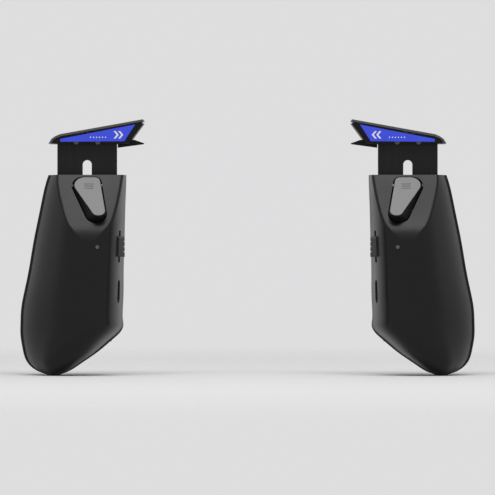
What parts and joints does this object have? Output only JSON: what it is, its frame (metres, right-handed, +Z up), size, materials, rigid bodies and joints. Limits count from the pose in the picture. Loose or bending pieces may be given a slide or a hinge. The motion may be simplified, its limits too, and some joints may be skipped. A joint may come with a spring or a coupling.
{
  "type": "mobile game controller",
  "caption": "Pair of clip-on hand grips for a phone held sideways, each with a sprung clamp, a back trigger paddle and a shoulder trigger.",
  "frame": {"origin": "under the middle of the two grips' box, on the surface that the handles' feet stand on", "axes": "+X along the phone towards the left hand's grip, +Y from the grips' backs towards the phone's screen, +Z up the handles"},
  "size_m": [0.19, 0.0358, 0.1068],
  "materials": {
    "shell": "fine satin texture, near black",
    "rubber": "matt silicone rubber",
    "guide_plastic": "natural moulded plastic",
    "steel": "turned",
    "spring_steel": "drawn wire",
    "circuit_board": "solder mask over glass cloth board",
    "cell_pouch": "foil pouch",
    "socket_metal": "bright stamped shell",
    "switch_body": "moulded",
    "clear_lens": "milky light pipe",
    "screw_steel": "black zinc",
    "plate": "flat satin",
    "head_plastic": "fine satin texture",
    "badge": "smooth coloured insert",
    "conductive_rubber": "conductive silicone",
    "trigger": "fine satin texture, dark grey",
    "knob": "satin, grooved",
    "cap": "fine satin texture, dark grey"
  },
  "bodies": {
    "right_hand_handle": {"right_hand_back_shell": "shell", "right_hand_front_cover": "shell", "right_hand_bed_pad": "rubber", "right_hand_ledge_pad": "rubber", "right_hand_slide_guide": "guide_plastic", "right_hand_stop_post": "steel", "right_hand_clamp_springs": "spring_steel", "right_hand_main_board": "circuit_board", "right_hand_battery": "cell_pouch", "right_hand_charging_socket": "socket_metal", "right_hand_mode_switch": "switch_body", "right_hand_indicator_lens": "clear_lens", "right_hand_back_trigger_pin": "steel", "right_hand_back_trigger_spring": "spring_steel", "right_hand_back_trigger_switch": "switch_body", "right_hand_shell_screws": "screw_steel", "right_hand_guide_screws": "screw_steel"},
    "right_hand_clamp": {"right_hand_clamp_plate": "plate", "right_hand_clamp_head": "head_plastic", "right_hand_screen_lip": "head_plastic", "right_hand_badge": "badge", "right_hand_jaw_pad": "rubber", "right_hand_touch_pads": "conductive_rubber", "right_hand_shoulder_pin": "steel", "right_hand_shoulder_switch": "switch_body", "right_hand_head_board": "circuit_board", "right_hand_head_screws": "screw_steel"},
    "right_hand_back_trigger": {"right_hand_back_trigger": "trigger"},
    "right_hand_mode_knob": {"right_hand_mode_knob": "knob"},
    "right_hand_shoulder_trigger": {"right_hand_shoulder_trigger": "cap"},
    "left_hand_handle": {"left_hand_back_shell": "shell", "left_hand_front_cover": "shell", "left_hand_bed_pad": "rubber", "left_hand_ledge_pad": "rubber", "left_hand_slide_guide": "guide_plastic", "left_hand_stop_post": "steel", "left_hand_clamp_springs": "spring_steel", "left_hand_main_board": "circuit_board", "left_hand_battery": "cell_pouch", "left_hand_charging_socket": "socket_metal", "left_hand_mode_switch": "switch_body", "left_hand_indicator_lens": "clear_lens", "left_hand_back_trigger_pin": "steel", "left_hand_back_trigger_spring": "spring_steel", "left_hand_back_trigger_switch": "switch_body", "left_hand_shell_screws": "screw_steel", "left_hand_guide_screws": "screw_steel"},
    "left_hand_clamp": {"left_hand_clamp_plate": "plate", "left_hand_clamp_head": "head_plastic", "left_hand_screen_lip": "head_plastic", "left_hand_badge": "badge", "left_hand_jaw_pad": "rubber", "left_hand_touch_pads": "conductive_rubber", "left_hand_shoulder_pin": "steel", "left_hand_shoulder_switch": "switch_body", "left_hand_head_board": "circuit_board", "left_hand_head_screws": "screw_steel"},
    "left_hand_back_trigger": {"left_hand_back_trigger": "trigger"},
    "left_hand_mode_knob": {"left_hand_mode_knob": "knob"},
    "left_hand_shoulder_trigger": {"left_hand_shoulder_trigger": "cap"}
  },
  "joints": [
    {"name": "right_hand_clamp_slide", "type": "slide", "parent": "right_hand_handle", "child": "right_hand_clamp", "axis": [0, 0, 1], "range_m": [-0.011, 0.009], "stiffness_N_per_m": 60, "springref_m": -0.02, "deforming": ["right_hand_clamp_springs"]},
    {"name": "right_hand_back_trigger_hinge", "type": "hinge", "parent": "right_hand_handle", "child": "right_hand_back_trigger", "pos_m": [-0.06645, -0.00165, 0.07896], "axis": [1, 0, 0], "range_deg": [0, 6], "stiffness_Nm_per_rad": 0.12, "springref_deg": -8.59},
    {"name": "right_hand_mode_knob_slide", "type": "slide", "parent": "right_hand_handle", "child": "right_hand_mode_knob", "axis": [0, 0, 1], "range_m": [-0.002, 0.002]},
    {"name": "right_hand_shoulder_trigger_hinge", "type": "hinge", "parent": "right_hand_clamp", "child": "right_hand_shoulder_trigger", "pos_m": [-0.0797, 0.0076, 0.09785], "axis": [0, 1, 0], "range_deg": [0, 0.75], "stiffness_Nm_per_rad": 0.6, "springref_deg": -2.86},
    {"name": "left_hand_clamp_slide", "type": "slide", "parent": "left_hand_handle", "child": "left_hand_clamp", "axis": [0, 0, 1], "range_m": [-0.011, 0.009], "stiffness_N_per_m": 60, "springref_m": -0.02, "deforming": ["left_hand_clamp_springs"]},
    {"name": "left_hand_back_trigger_hinge", "type": "hinge", "parent": "left_hand_handle", "child": "left_hand_back_trigger", "pos_m": [0.06645, -0.00165, 0.07896], "axis": [1, 0, 0], "range_deg": [0, 6], "stiffness_Nm_per_rad": 0.12, "springref_deg": -8.59},
    {"name": "left_hand_mode_knob_slide", "type": "slide", "parent": "left_hand_handle", "child": "left_hand_mode_knob", "axis": [0, 0, 1], "range_m": [-0.002, 0.002]},
    {"name": "left_hand_shoulder_trigger_hinge", "type": "hinge", "parent": "left_hand_clamp", "child": "left_hand_shoulder_trigger", "pos_m": [0.0797, 0.0076, 0.09785], "axis": [0, -1, 0], "range_deg": [0, 0.75], "stiffness_Nm_per_rad": 0.6, "springref_deg": -2.86},
    {"name": "phone_length_slide", "type": "slide", "parent": "right_hand_handle", "child": "left_hand_handle", "axis": [1, 0, 0], "range_m": [-0.02, 0.01]}
  ]
}
